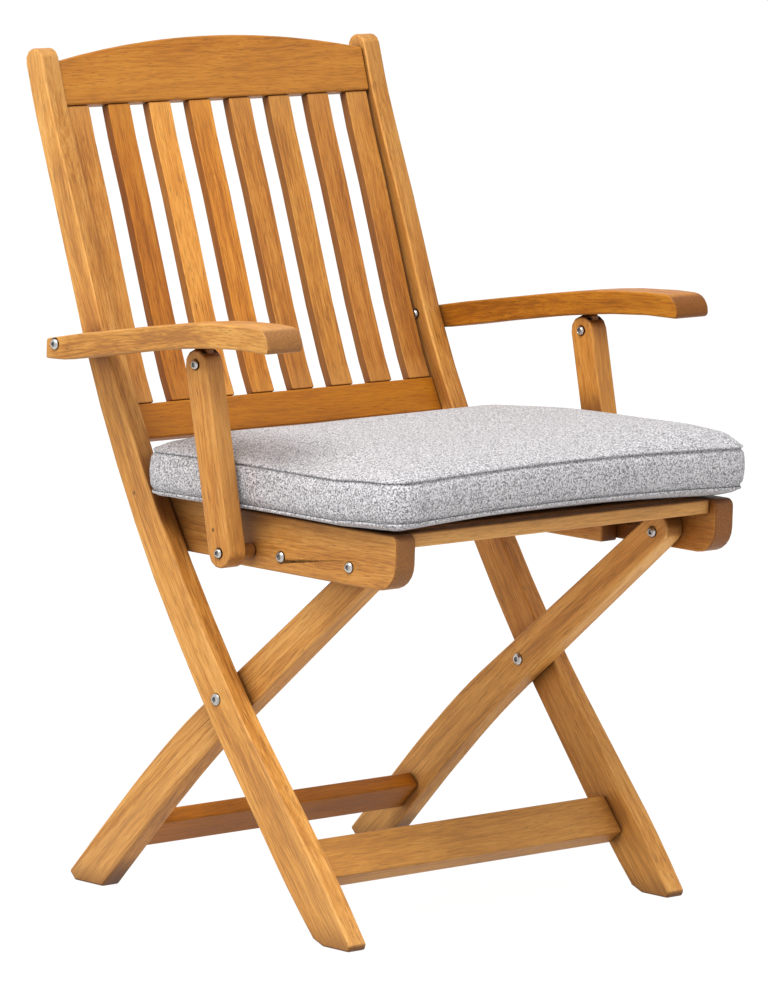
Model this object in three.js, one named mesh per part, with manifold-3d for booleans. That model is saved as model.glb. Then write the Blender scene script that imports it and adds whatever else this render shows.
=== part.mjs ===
// Folding teak armchair with a loose seat cushion.
// Millimetres, +Z up, the sitter faces -Y, the right side of the chair is -X.
// The back frame stands still; rear legs, seat, arms and arm supports fold on it.

import * as THREE from 'three';
import { mergeVertices } from 'three/addons/utils/BufferGeometryUtils.js';
import Module from 'manifold-3d';

const wasm = await Module();
wasm.setup();

// Clearances between pieces
const fitGap = 0.3;
const pivotGap = 0.6;
const layerGap = 0.4;

// Layers of the side frames, measured outwards from the middle plane
const rearLegInner = 192;
const legThickness = 24;
const washerRoom = 3;
const seatRailThickness = 27;
const spacerLength = 21.6;
const supportThickness = 24;
const lugThickness = 10;
const rearLegOuter = rearLegInner + legThickness;
const longLegInner = rearLegOuter + washerRoom;
const longLegOuter = longLegInner + legThickness;
const seatRailInner = rearLegOuter + layerGap;
const seatRailOuter = seatRailInner + seatRailThickness;
const supportInner = Math.max(seatRailOuter, longLegOuter) + spacerLength;
const supportOuter = supportInner + supportThickness;

// Long legs: curved boards from the front foot to the top of the back.
// Each station is a share of the way back, a share of the height and a share of the width.
const seatHeight = 425;
const backRise = 425;
const longLegHeight = seatHeight + backRise;
const longLegFootY = -208;
const longLegTopY = 272;
const longLegWidth = 48;
const longLegTopRadius = 13;
const longLegStationShares = [
  [-0.092, -0.071, 0.79],
  [0, 0, 0.875],
  [0.102, 0.071, 1],
  [0.2375, 0.165, 0.92],
  [0.379, 0.267, 0.85],
  [0.577, 0.435, 0.79],
  [0.752, 0.624, 0.67],
  [0.8875, 0.824, 0.6],
  [0.967, 0.941, 0.54],
  [1, 1, 0.54],
];

// Seat, carried on the tops of the rear legs
const seatFrontY = -273;
const seatRailHeight = 57;
const seatRailNoseReach = 6;
const seatRailNoseRadius = 27;
const seatRailBrowRadius = 8;
const seatPivotSetback = 60;
const seatPivotDrop = 39;
const seatPivot = [seatFrontY + seatPivotSetback, seatHeight - seatPivotDrop];
const railBoltSetback = 98;
const railBoltDrop = 2;
const railBoltPoint = [seatPivot[0] + railBoltSetback, seatPivot[1] - railBoltDrop];
const supportFootSetback = 140;
const supportFootPivot = [seatPivot[0] + supportFootSetback, seatPivot[1]];
const seatRailTail = 46;
const runnerHeight = 59;
const runnerLap = 26;
const runnerRearReach = 29;
const runnerTopReach = 17;
const frontRailThickness = 15;
const frontRailHeight = 15;
const frontRailSetback = 3;
const seatSlatCount = 6;
const seatSlatWidth = 40;
const seatSlatThickness = 14;
const seatSlatGap = 12;
const restRailWidth = 20;
const restRailHeight = 16;
const restRailInset = 7;

// Rear legs: from the seat pivot through the crossing down to the rear foot.
// Below the crossing each station is a share of the way back, of the height left and of the width.
const crossingShare = 0.588;
const crossingHeight = seatPivot[1] * crossingShare;
const rearLegFootY = 197;
const rearLegWidth = 44;
const rearLegEndShare = 0.76;
const rearLegMiddleShare = 0.84;
const rearLegEndReach = 6.5;
const rearLegStationShares = [
  [0, 1, 0.9],
  [0.27, 0.767, 0.97],
  [0.53, 0.511, 1],
  [0.785, 0.238, 1],
  [1, 0, 1],
  [1.2, -0.22, 1],
];

// Foot breaks, measured from the middle of each foot: the corners are cut back there
const longLegToeBreak = 19;
const longLegHeelBreak = 18;
const rearLegHeelBreak = 13;
const breakRun = 18;
const breakRise = 7;
const toeRun = 3;
const toeRise = 9;

// Back panel, set into the back frame behind the front face of the long legs
const topRailHeight = 47;
const topRailThickness = 20;
const topRailSetback = 4;
const topRailDrop = 48;
const topRailArch = 20;
const lowerRailHeight = 38;
const lowerRailThickness = 15;
const lowerRailSetback = 15;
const lowerRailLift = 47;
const backSlatCount = 8;
const backSlatWidth = 31;
const backSlatThickness = 11;
const backSlatFootSetback = 16;
const backSlatTopSetback = 6;

// Cross members below the seat
const frontStretcherHeight = 77;
const frontStretcherThickness = 24;
const frontStretcherWidth = 45;
const frontStretcherDepth = 34;
const rearStretcherHeight = 66;
const rearStretcherThickness = 18;
const rearStretcherWidth = 39;
const rearStretcherOffset = 4.5;

// Arms. Each station is a share of the length, of the rise and of the thickness.
const armPivotRise = 146;
const armPivotHeight = seatHeight + armPivotRise;
const armTail = 14;
const armLength = 350;
const armRise = 50;
const armThickness = 27.5;
const armRearWidth = 52;
const armFrontWidth = 48;
const armFrontInset = 4;
const armNoseRadius = 18.5;
const armFootRadius = 5;
const armStationShares = [
  [0, 0.09, 0.74],
  [0.095, 0.225, 0.92],
  [0.231, 0.405, 0.93],
  [0.509, 0.735, 0.92],
  [0.717, 0.93, 0.91],
  [0.88, 1, 0.88],
];

// Arm supports and the lugs that they turn on
const supportWidth = 31;
const supportLean = 41;
const lugWidth = 19;
const slotFloor = 5;

// Bolts
const boltRadius = 4;
const boltGap = 0.4;
const boltHeadRadius = 5.6;
const wideHeadRadius = 6.2;
const smallHeadRadius = 4.8;
const boltHeadHeight = 2.8;
const socketRadius = 2.6;
const socketDepth = 2;
const headShoulderShare = 0.3;
const headBrowShare = 0.85;
const nutHeight = 3;
const washerRadius = 12;
const spacerRadius = 7.5;
const boltHoleRadius = boltRadius + boltGap;

// Cushion
const cushionSideGap = 7;
const cushionFrontOverhang = 15;
const cushionBackGap = 6;
const cushionThickness = 53;
const cushionCrown = 8;
const cushionCornerRadius = 36;
const cushionEdgeInset = 3;
const cushionTuck = 9;
const cushionSeamRise = 2;
const cushionCrownSpread = 0.8;
const cushionTopShares = [[0.083, 0.8], [0.167, 1]];
const cushionRimShare = 0.33;
const cushionWallShare = 0.25;

// Round pieces are drawn with this many sides, and curves with this many steps
const roundSides = 20;
const arcSteps = 6;
const armSteps = 12;
const boardSteps = 26;
const slatSteps = 6;
const searchSteps = 40;
const weldReach = 1e-4;

// Materials
const teak = new THREE.MeshStandardMaterial({ color: 0xc98a4b, roughness: 0.55, metalness: 0 });
const steel = new THREE.MeshStandardMaterial({ color: 0xc9cbcd, roughness: 0.28, metalness: 1 });
const tweed = new THREE.MeshStandardMaterial({ color: 0xbdbcbe, roughness: 0.95, metalness: 0 });

const chair = new THREE.Group();

// The two sides of the chair
const sides = [['right', -1], ['left', 1]];

// Names and places a finished shape in the chair
function addPiece(name, geometry, material) {
  const mesh = new THREE.Mesh(geometry, material);
  mesh.name = name;
  chair.add(mesh);
}

// Positions of a geometry as a closed body for cutting
function toBody(geometry) {
  const bare = new THREE.BufferGeometry();
  bare.setAttribute('position', geometry.getAttribute('position').clone());
  if (geometry.index) bare.setIndex(geometry.index.clone());
  const welded = mergeVertices(bare, weldReach);
  return new wasm.Manifold(new wasm.Mesh({
    numProp: 3,
    vertProperties: new Float32Array(welded.getAttribute('position').array),
    triVerts: new Uint32Array(welded.index.array),
  }));
}

// Closed body back to a drawable geometry
function toGeometry(body) {
  const mesh = body.getMesh();
  const geometry = new THREE.BufferGeometry();
  geometry.setAttribute('position', new THREE.BufferAttribute(mesh.vertProperties, 3));
  geometry.setIndex(new THREE.BufferAttribute(mesh.triVerts, 1));
  const flat = geometry.toNonIndexed();
  flat.computeVertexNormals();
  return flat;
}

// Side outline of [y, z] points pushed through from one layer to another
function sidePlate(outline, fromX, toX) {
  const shape = new THREE.Shape(outline.map(([y, z]) => new THREE.Vector2(y, z)));
  const plate = new THREE.ExtrudeGeometry(shape, { depth: Math.abs(toX - fromX), bevelEnabled: false });
  plate.applyMatrix4(new THREE.Matrix4().set(
    0, 0, 1, Math.min(fromX, toX),
    1, 0, 0, 0,
    0, 1, 0, 0,
    0, 0, 0, 1,
  ));
  return plate;
}

// Round bar along X
function crossBar(radius, [y, z], fromX, toX) {
  const bar = new THREE.CylinderGeometry(radius, radius, Math.abs(toX - fromX), roundSides);
  bar.rotateZ(Math.PI / 2);
  bar.translate((fromX + toX) / 2, y, z);
  return bar;
}

// Bar that cuts a bolt hole through every layer of one side
function boltHole(point, sign) {
  return crossBar(boltHoleRadius, point, sign * rearLegInner / 2, sign * supportOuter * 2);
}

// Takes the tools out of a piece
function cut(geometry, tools) {
  let body = toBody(geometry);
  for (const tool of tools) body = body.subtract(toBody(tool));
  return toGeometry(body);
}

// Points of an arc from one angle to another, in degrees
function arc([y, z], radius, from, to) {
  const points = [];
  for (let i = 0; i <= arcSteps; i += 1) {
    const angle = THREE.MathUtils.degToRad(from + (to - from) * i / arcSteps);
    points.push([y + radius * Math.cos(angle), z + radius * Math.sin(angle)]);
  }
  return points;
}

// Points of a smooth line through [y, z] stations
function smoothLine(stations, steps) {
  const line = new THREE.SplineCurve(stations.map(([y, z]) => new THREE.Vector2(y, z)));
  return line.getPoints(steps).map((point) => [point.x, point.y]);
}

// Height of a line of points at a place along Y
function heightOn(points, y) {
  const i = points.findIndex((point, k) => k > 0 && (point[0] - y) * (points[k - 1][0] - y) <= 0);
  const [fromY, fromZ] = points[i - 1];
  const [toY, toZ] = points[i];
  return fromZ + (toZ - fromZ) * (y - fromY) / (toY - fromY);
}

// Keeps the part of an outline that lies to the left of the way from one point to another
function trimmed(outline, [fromY, fromZ], [toY, toZ]) {
  const offset = ([y, z]) => (toY - fromY) * (z - fromZ) - (toZ - fromZ) * (y - fromY);
  const kept = [];
  outline.forEach((point, i) => {
    const next = outline[(i + 1) % outline.length];
    const here = offset(point);
    const there = offset(next);
    if (here >= 0) kept.push(point);
    if ((here < 0) !== (there < 0)) {
      const share = here / (here - there);
      kept.push([point[0] + (next[0] - point[0]) * share, point[1] + (next[1] - point[1]) * share]);
    }
  });
  return kept;
}

// Middle line of a curved board; the third coordinate carries its width
function boardLine(stations) {
  return new THREE.CatmullRomCurve3(stations.map(([y, z, width]) => new THREE.Vector3(y, z, width)));
}

// Place, direction and half width of a board where its middle line reaches a height
function boardAt(line, height) {
  const rising = line.getPoint(1).y > line.getPoint(0).y;
  let low = 0;
  let high = 1;
  for (let i = 0; i < searchSteps; i += 1) {
    const share = (low + high) / 2;
    if ((line.getPoint(share).y < height) === rising) low = share;
    else high = share;
  }
  const middle = line.getPoint(low);
  const along = line.getTangent(low).setZ(0).normalize();
  if (!rising) along.negate();
  return { middle, along, half: middle.z / 2 };
}

// Outline of a curved board with a rounded upper end
function boardOutline(line, endRadius) {
  const rising = line.getPoint(1).y > line.getPoint(0).y;
  const left = [];
  const right = [];
  for (let i = 0; i <= boardSteps; i += 1) {
    const share = rising ? i / boardSteps : 1 - i / boardSteps;
    const middle = line.getPoint(share);
    const along = line.getTangent(share).setZ(0).normalize().multiplyScalar(rising ? 1 : -1);
    const half = middle.z / 2;
    left.push([middle.x - along.y * half, middle.y + along.x * half]);
    right.push([middle.x + along.y * half, middle.y - along.x * half]);
  }
  const top = line.getPoint(rising ? 1 : 0);
  const run = line.getTangent(rising ? 1 : 0).multiplyScalar(rising ? 1 : -1);
  const heading = THREE.MathUtils.radToDeg(Math.atan2(run.y, run.x));
  const cap = arc([top.x, top.y], endRadius, heading - 90, heading + 90).slice(1, -1);
  return [...right, ...cap, ...left.reverse()];
}

// Rectangle turned in the side view, its width along the given direction
function leaningBox([y, z], width, thickness, along) {
  const corners = [[-width, -thickness], [width, -thickness], [width, thickness], [-width, thickness]];
  return corners.map(([u, v]) => [
    y + (u * along.x - v * along.y) / 2,
    z + (u * along.y + v * along.x) / 2,
  ]);
}

// Middle lines of the legs
const longLegDepth = longLegTopY - longLegFootY;
const longLegLine = boardLine(longLegStationShares.map(([back, up, wide]) => [
  longLegFootY + longLegDepth * back, longLegHeight * up, longLegWidth * wide,
]));
const crossing = boardAt(longLegLine, crossingHeight).middle;
const crossingPivot = [crossing.x, crossing.y];
const seatFromCrossing = new THREE.Vector2(seatPivot[0] - crossing.x, seatPivot[1] - crossing.y);
const rearLegEnd = seatFromCrossing.clone().setLength(seatFromCrossing.length() + rearLegEndReach);
const rearLegEndWidth = rearLegWidth * rearLegEndShare;
const rearLegLine = boardLine([
  [crossing.x + rearLegEnd.x, crossing.y + rearLegEnd.y, rearLegEndWidth],
  [
    crossing.x + seatFromCrossing.x / 2,
    crossing.y + seatFromCrossing.y / 2,
    rearLegWidth * rearLegMiddleShare,
  ],
  ...rearLegStationShares.map(([back, up, wide]) => [
    crossing.x + (rearLegFootY - crossing.x) * back, crossing.y * up, rearLegWidth * wide,
  ]),
]);

// Place of the front face of the long legs at a height of their middle line
function behindFace(height, depth) {
  const { middle, along, half } = boardAt(longLegLine, height);
  const back = depth - half;
  return [middle.x + along.y * back, middle.y - along.x * back];
}

// Front edge of the long legs as points from the foot upwards, and where it is at a true height
const longLegFront = [];
for (let i = 0; i <= boardSteps * 2; i += 1) {
  const height = longLegHeight * i / boardSteps / 2;
  longLegFront.push(behindFace(height, 0).reverse());
}
function frontFaceY(height) {
  return heightOn(longLegFront, height);
}

// Arm pivot, arm lines and the upper pivot of the support
const armPivotPlace = boardAt(longLegLine, armPivotHeight).middle;
const armPivot = [armPivotPlace.x, armPivotPlace.y];
const armRearY = armPivot[0] + armTail;
const armFrontY = armRearY - armLength;
const armTopLine = armStationShares.map(([along, rise]) => [
  armRearY - armLength * along, armPivotHeight + armRise * rise,
]);
const armBottomLine = armStationShares.map(([along, rise, thick]) => [
  armRearY - armLength * along, armPivotHeight + armRise * rise - armThickness * thick,
]);
const supportEndRadius = supportWidth / 2;
const supportTopY = supportFootPivot[0] + supportLean;
const supportTopPivot = [
  supportTopY,
  heightOn(smoothLine(armBottomLine, armSteps), supportTopY) - supportEndRadius - pivotGap * 2,
];

function addLongLegs() {
  const board = boardOutline(longLegLine, longLegTopRadius);
  const toeY = longLegFootY - longLegToeBreak;
  const heelY = longLegFootY + longLegHeelBreak;
  const level = trimmed(board, [toeY, 0], [heelY, 0]);
  const toed = trimmed(level, [toeY - toeRun, toeRise], [toeY, 0]);
  const outline = trimmed(toed, [heelY, 0], [heelY + breakRun, breakRise]);
  for (const [side, sign] of sides) {
    const leg = sidePlate(outline, sign * longLegInner, sign * longLegOuter);
    addPiece(`${side}_long_leg`, cut(leg, [boltHole(crossingPivot, sign), boltHole(armPivot, sign)]), teak);
  }
}

function addRearLegs() {
  const board = boardOutline(rearLegLine, rearLegEndWidth / 2);
  const heelY = rearLegFootY + rearLegHeelBreak;
  const level = trimmed(board, [rearLegFootY, 0], [heelY, 0]);
  const outline = trimmed(level, [heelY, 0], [heelY + breakRise, breakRise]);
  for (const [side, sign] of sides) {
    const leg = sidePlate(outline, sign * rearLegInner, sign * rearLegOuter);
    addPiece(`${side}_rear_leg`, cut(leg, [boltHole(crossingPivot, sign), boltHole(seatPivot, sign)]), teak);
  }
}

// Lower front corner and lean of the two back rails, and a place up and back from such a corner
const topRailBottomZ = longLegHeight - topRailDrop;
const topRailCorner = behindFace(topRailBottomZ, topRailSetback);
const topRailLean = boardAt(longLegLine, topRailBottomZ + topRailHeight / 2).along;
const lowerRailBottomZ = seatHeight + lowerRailLift;
const lowerRailCorner = behindFace(lowerRailBottomZ, lowerRailSetback);
const lowerRailLean = boardAt(longLegLine, lowerRailBottomZ + lowerRailHeight / 2).along;
function leaningPoint([y, z], lean, up, back) {
  return [y + lean.x * up + lean.y * back, z + lean.y * up - lean.x * back];
}

// Top rail: level board with an arched upper edge, leaning with the long legs
function addTopRail() {
  const reach = longLegInner - fitGap;
  const face = new THREE.Shape();
  face.moveTo(-reach, 0);
  face.lineTo(reach, 0);
  face.lineTo(reach, topRailHeight);
  face.quadraticCurveTo(0, topRailHeight + topRailArch * 2, -reach, topRailHeight);
  face.closePath();
  const rail = new THREE.ExtrudeGeometry(face, {
    depth: topRailThickness, bevelEnabled: false, curveSegments: boardSteps,
  });
  const [rearY, rearZ] = leaningPoint(topRailCorner, topRailLean, 0, topRailThickness);
  rail.applyMatrix4(new THREE.Matrix4().set(
    1, 0, 0, 0,
    0, topRailLean.x, -topRailLean.y, rearY,
    0, topRailLean.y, topRailLean.x, rearZ,
    0, 0, 0, 1,
  ));
  addPiece('top_rail', rail, teak);
}

function addLowerBackRail() {
  const at = (up, back) => leaningPoint(lowerRailCorner, lowerRailLean, up, back);
  const section = [
    at(0, 0),
    at(0, lowerRailThickness),
    at(lowerRailHeight, lowerRailThickness),
    at(lowerRailHeight, 0),
  ];
  const reach = longLegInner - fitGap;
  addPiece('lower_back_rail', sidePlate(section, -reach, reach), teak);
}

// Upright slats, gently bowed with the long legs and cut off square at the two back rails
function addBackSlats() {
  const reach = longLegInner - nutHeight - fitGap * 2;
  const pitch = (reach * 2 - backSlatWidth) / (backSlatCount - 1);
  const highZ = topRailBottomZ + topRailHeight / 2;
  const front = [];
  const back = [];
  for (let i = 0; i <= slatSteps; i += 1) {
    const share = i / slatSteps;
    const height = lowerRailBottomZ + (highZ - lowerRailBottomZ) * share;
    const setback = backSlatFootSetback + (backSlatTopSetback - backSlatFootSetback) * share;
    front.push(behindFace(height, setback));
    back.push(behindFace(height, setback + backSlatThickness));
  }
  const above = trimmed(
    [...back, ...front.reverse()],
    leaningPoint(lowerRailCorner, lowerRailLean, lowerRailHeight + fitGap, 0),
    leaningPoint(lowerRailCorner, lowerRailLean, lowerRailHeight + fitGap, lowerRailThickness),
  );
  const section = trimmed(
    above,
    leaningPoint(topRailCorner, topRailLean, -fitGap, topRailThickness),
    leaningPoint(topRailCorner, topRailLean, -fitGap, 0),
  );
  for (let i = 0; i < backSlatCount; i += 1) {
    const start = -reach + pitch * i;
    addPiece(`back_slat_${i + 1}`, sidePlate(section, start, start + backSlatWidth), teak);
  }
}

// Top and front of the rail that the rear of the open seat rests on
const runnerBottomZ = seatHeight - runnerHeight;
const restTop = runnerBottomZ + restRailHeight;
const restFrontY = frontFaceY(restTop) + restRailInset;

function addCrossMembers() {
  const longReach = longLegInner - fitGap;
  const front = boardAt(longLegLine, frontStretcherHeight);
  const frontMiddle = behindFace(frontStretcherHeight, frontStretcherDepth);
  const frontSection = leaningBox(frontMiddle, frontStretcherWidth, frontStretcherThickness, front.along);
  addPiece('front_stretcher', sidePlate(frontSection, -longReach, longReach), teak);

  const rearReach = rearLegInner - fitGap;
  const rear = boardAt(rearLegLine, rearStretcherHeight);
  const rearMiddle = [
    rear.middle.x - rear.along.y * rearStretcherOffset,
    rear.middle.y + rear.along.x * rearStretcherOffset,
  ];
  const rearSection = leaningBox(rearMiddle, rearStretcherWidth, rearStretcherThickness, rear.along);
  addPiece('rear_stretcher', sidePlate(rearSection, -rearReach, rearReach), teak);

  const rest = new THREE.BoxGeometry(longReach * 2, restRailWidth, restRailHeight);
  rest.translate(0, restFrontY + restRailWidth / 2, restTop - restRailHeight / 2);
  addPiece('seat_rest_rail', rest, teak);
}

// Outer seat rails with a rounded nose
function addSeatRails() {
  const bottomZ = seatHeight - seatRailHeight;
  const rearY = supportFootPivot[0] + seatRailTail;
  const noseY = seatFrontY - seatRailNoseReach;
  const outline = [
    ...arc([noseY + seatRailBrowRadius, seatHeight - seatRailBrowRadius], seatRailBrowRadius, 90, 180),
    ...arc([noseY + seatRailNoseRadius, bottomZ + seatRailNoseRadius], seatRailNoseRadius, 180, 270),
    [rearY, bottomZ],
    [rearY, seatHeight],
  ];
  for (const [side, sign] of sides) {
    const board = sidePlate(outline, sign * seatRailInner, sign * seatRailOuter);
    const rail = cut(board, [boltHole(seatPivot, sign), boltHole(railBoltPoint, sign)]);
    addPiece(`${side}_seat_rail`, rail, teak);
  }
}

// Inner rails that carry the slats, reach back between the long legs and lie on the rest rail
const runnerFrontY = railBoltPoint[0] - runnerLap;

function addSeatRunners() {
  const notchY = restFrontY - pivotGap;
  const notchZ = restTop + layerGap;
  const outline = [
    [runnerFrontY, seatHeight],
    [runnerFrontY, runnerBottomZ],
    [notchY, runnerBottomZ],
    [notchY, notchZ],
    [frontFaceY(notchZ) + runnerRearReach, notchZ],
    [frontFaceY(seatHeight) + runnerTopReach, seatHeight],
  ];
  for (const [side, sign] of sides) {
    const runner = sidePlate(outline, sign * rearLegInner, sign * (seatRailInner - fitGap));
    addPiece(`${side}_seat_runner`, cut(runner, [boltHole(railBoltPoint, sign)]), teak);
  }
}

function addSeatSlats() {
  const railFront = seatFrontY + frontRailSetback;
  const railReach = seatRailInner - fitGap;
  const frontRail = new THREE.BoxGeometry(railReach * 2, frontRailThickness, frontRailHeight);
  frontRail.translate(0, railFront + frontRailThickness / 2, seatHeight - frontRailHeight / 2);
  addPiece('front_seat_rail', frontRail, teak);
  const firstY = railFront + frontRailThickness + seatSlatGap + seatSlatWidth / 2;
  for (let i = 0; i < seatSlatCount; i += 1) {
    const middleY = firstY + (seatSlatWidth + seatSlatGap) * i;
    const besideRunner = middleY + seatSlatWidth / 2 > runnerFrontY - fitGap;
    const reach = (besideRunner ? rearLegInner : seatRailInner) - fitGap;
    const slat = new THREE.BoxGeometry(reach * 2, seatSlatWidth, seatSlatThickness);
    slat.translate(0, middleY, seatHeight - seatSlatThickness / 2);
    addPiece(`seat_slat_${i + 1}`, slat, teak);
  }
}

// Arched side outline of an arm
function armOutline() {
  const [noseY, noseZ] = armTopLine[armTopLine.length - 1];
  const [, footZ] = armBottomLine[armBottomLine.length - 1];
  return [
    ...smoothLine(armTopLine, armSteps),
    [noseY - fitGap, noseZ],
    ...arc([armFrontY + armNoseRadius, noseZ - armNoseRadius], armNoseRadius, 90, 180),
    ...arc([armFrontY + armFootRadius, footZ + armFootRadius], armFootRadius, 180, 270),
    ...smoothLine(armBottomLine, armSteps).reverse(),
  ];
}

// Arms: the side outline cut by a splayed plan outline
const armRearInner = longLegOuter + pivotGap * 2;
const armRearOuter = armRearInner + armRearWidth;
const armFrontInner = supportInner + armFrontInset;
const armFrontOuter = armFrontInner + armFrontWidth;

function addArms() {
  const straightY = armPivot[0] - boltHeadRadius * 2;
  const behindY = armRearY + armRearWidth;
  const aheadY = armFrontY - armFrontWidth;
  for (const [side, sign] of sides) {
    const plan = new THREE.Shape([
      new THREE.Vector2(sign * armRearInner, behindY),
      new THREE.Vector2(sign * armRearInner, straightY),
      new THREE.Vector2(sign * armFrontInner, armFrontY),
      new THREE.Vector2(sign * armFrontInner, aheadY),
      new THREE.Vector2(sign * armFrontOuter, aheadY),
      new THREE.Vector2(sign * armFrontOuter, armFrontY),
      new THREE.Vector2(sign * armRearOuter, straightY),
      new THREE.Vector2(sign * armRearOuter, behindY),
    ]);
    const planBlock = new THREE.ExtrudeGeometry(plan, { depth: armPivot[1] * 2, bevelEnabled: false });
    const slab = sidePlate(armOutline(), 0, sign * (armFrontOuter + armRearWidth));
    const arm = toBody(slab).intersect(toBody(planBlock));
    addPiece(`${side}_arm`, toGeometry(arm.subtract(toBody(boltHole(armPivot, sign)))), teak);
  }
}

// Upright supports under the arms; the slot for the lug is open above and behind
function addSupports() {
  const [topY, topZ] = supportTopPivot;
  const [footY, footZ] = supportFootPivot;
  const heading = THREE.MathUtils.radToDeg(Math.atan2(footZ - topZ, footY - topY));
  const outline = [
    ...arc(supportTopPivot, supportEndRadius, heading + 90, heading + 270),
    ...arc(supportFootPivot, supportEndRadius, heading - 90, heading + 90),
  ];
  const lugMiddle = (supportInner + supportOuter) / 2;
  const slotDepth = lugWidth / 2 + slotFloor;
  const slotFrontY = topY - lugWidth / 2 - pivotGap;
  const lugOutline = [
    [topY + lugWidth / 2, topZ + lugWidth],
    [topY - lugWidth / 2, topZ + lugWidth],
    ...arc(supportTopPivot, lugWidth / 2, 180, 360),
  ];
  for (const [side, sign] of sides) {
    const slot = new THREE.BoxGeometry(lugThickness + pivotGap * 2, supportWidth * 2, supportWidth * 2);
    slot.translate(sign * lugMiddle, slotFrontY + supportWidth, topZ - slotDepth + supportWidth);
    const support = sidePlate(outline, sign * supportInner, sign * supportOuter);
    addPiece(`${side}_arm_support`, cut(support, [
      slot,
      boltHole(supportTopPivot, sign),
      boltHole(supportFootPivot, sign),
    ]), teak);

    const lug = sidePlate(
      lugOutline, sign * (lugMiddle - lugThickness / 2), sign * (lugMiddle + lugThickness / 2),
    );
    const armAbove = sidePlate(armOutline(), sign * rearLegInner, sign * supportOuter * 2);
    armAbove.translate(0, 0, -fitGap);
    addPiece(`${side}_arm_lug`, cut(lug, [armAbove, boltHole(supportTopPivot, sign)]), teak);

    const spacer = crossBar(spacerRadius, supportFootPivot,
      sign * (seatRailOuter + pivotGap), sign * (supportInner - fitGap));
    addPiece(`${side}_support_spacer`, cut(spacer, [boltHole(supportFootPivot, sign)]), teak);
  }
}

// Domed head or cap profile around its socket, from the outer rim to the axis
function domeProfile(radius, height) {
  return [
    new THREE.Vector2(radius, 0),
    new THREE.Vector2(radius, height * headShoulderShare),
    new THREE.Vector2((radius + socketRadius) / 2, height * headBrowShare),
    new THREE.Vector2(socketRadius, height),
    new THREE.Vector2(socketRadius, height - socketDepth),
    new THREE.Vector2(0, height - socketDepth),
  ];
}

// Turned piece set on the outer or inner side of a layer; out is the way its dome points along X
function turned(profile, [y, z], x, out) {
  const piece = new THREE.LatheGeometry(profile, roundSides);
  piece.rotateZ(-out * Math.PI / 2);
  piece.translate(x, y, z);
  return piece;
}

function addFasteners() {
  for (const [side, sign] of sides) {
    const bolt = (name, place, radius, headX, endX) => {
      const shank = headX + fitGap - endX;
      const profile = [
        new THREE.Vector2(0, -shank),
        new THREE.Vector2(boltRadius, -shank),
        new THREE.Vector2(boltRadius, 0),
        ...domeProfile(radius, boltHeadHeight),
      ];
      addPiece(`${side}_${name}_bolt`, turned(profile, place, sign * (headX + fitGap), sign), steel);
    };
    const nut = (name, place, radius, faceX) => {
      const profile = [new THREE.Vector2(0, 0), ...domeProfile(radius, nutHeight)];
      addPiece(`${side}_${name}_nut`, turned(profile, place, sign * (faceX - fitGap), -sign), steel);
    };
    bolt('crossing', crossingPivot, wideHeadRadius, longLegOuter, rearLegInner);
    nut('crossing', crossingPivot, wideHeadRadius, rearLegInner);
    bolt('seat', seatPivot, boltHeadRadius, seatRailOuter, rearLegInner);
    nut('seat', seatPivot, boltHeadRadius, rearLegInner);
    bolt('arm', armPivot, boltHeadRadius, armRearOuter, longLegInner);
    nut('arm', armPivot, smallHeadRadius, longLegInner);
    bolt('support_top', supportTopPivot, smallHeadRadius, supportOuter, supportInner);
    nut('support_top', supportTopPivot, smallHeadRadius, supportInner);
    bolt('support_foot', supportFootPivot, smallHeadRadius, supportOuter, seatRailOuter + pivotGap * 2);
    bolt('rail', railBoltPoint, boltHeadRadius, seatRailOuter, rearLegInner + pivotGap);
    const washer = crossBar(washerRadius, crossingPivot,
      sign * (rearLegOuter + fitGap), sign * (longLegInner - fitGap));
    addPiece(`${side}_crossing_washer`, cut(washer, [boltHole(crossingPivot, sign)]), steel);
  }
}

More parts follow.
